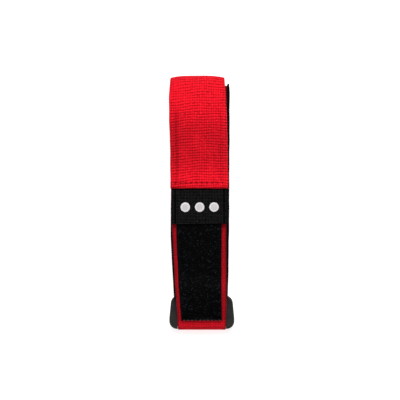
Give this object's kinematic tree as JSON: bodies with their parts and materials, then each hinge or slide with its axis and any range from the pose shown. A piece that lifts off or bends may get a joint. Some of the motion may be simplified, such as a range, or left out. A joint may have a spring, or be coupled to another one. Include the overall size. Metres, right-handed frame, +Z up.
{
  "type": "hook-and-loop gear strap",
  "caption": "Elastic hook-and-loop gear strap with a plastic ring, loop patch, hook patch and pull tab, folded flat and closed on itself.",
  "frame": {"origin": "middle of the folded strap's footprint, on the surface it lies on", "axes": "+Z up out of the strap's front, +Y from the ring towards the folds, +X to the right seen from the front"},
  "size_m": [0.0286, 0.1122, 0.0108],
  "materials": {
    "red_webbing": "woven elastic webbing, matt",
    "black_pile": "looped pile, matt",
    "black_liner": "matt grippy coating on tape",
    "black_hooks": "moulded hooks on woven tape",
    "black_tab": "twill woven tape",
    "white_mark": "woven white yarn",
    "black_plastic": "satin moulded plastic",
    "red_thread": "twisted polyester thread",
    "black_thread": "twisted polyester thread",
    "grey_thread": "twisted polyester thread"
  },
  "bodies": {
    "strap": {"strap_webbing": "red_webbing", "loop_patch": "black_pile", "grip_liner": "black_liner", "loop_patch_stitches": "black_thread", "ring_seam_stitches": "grey_thread", "liner_stitches": "grey_thread"},
    "tail": {"tail_webbing": "red_webbing", "hook_patch": "black_hooks", "tab_sewn_end": "black_tab", "hook_patch_stitches": "red_thread", "hem_stitches": "red_thread"},
    "tab": {"pull_tab": "black_tab", "tab_mark": "white_mark"},
    "ring": {"ring": "black_plastic"}
  },
  "joints": [
    {"name": "tail_peel", "type": "hinge", "parent": "strap", "child": "tail", "pos_m": [0, 0.04995, 0.00995], "axis": [-1, 0, 0], "range_deg": [0, 120]},
    {"name": "tab_lift", "type": "hinge", "parent": "tail", "child": "tab", "pos_m": [0, 0.0056, 0.0088], "axis": [-1, 0, 0], "range_deg": [0, 80]},
    {"name": "ring_tilt", "type": "hinge", "parent": "strap", "child": "ring", "pos_m": [0, -0.053, 0.0031], "axis": [1, 0, 0], "range_deg": [0, 2.5]}
  ]
}
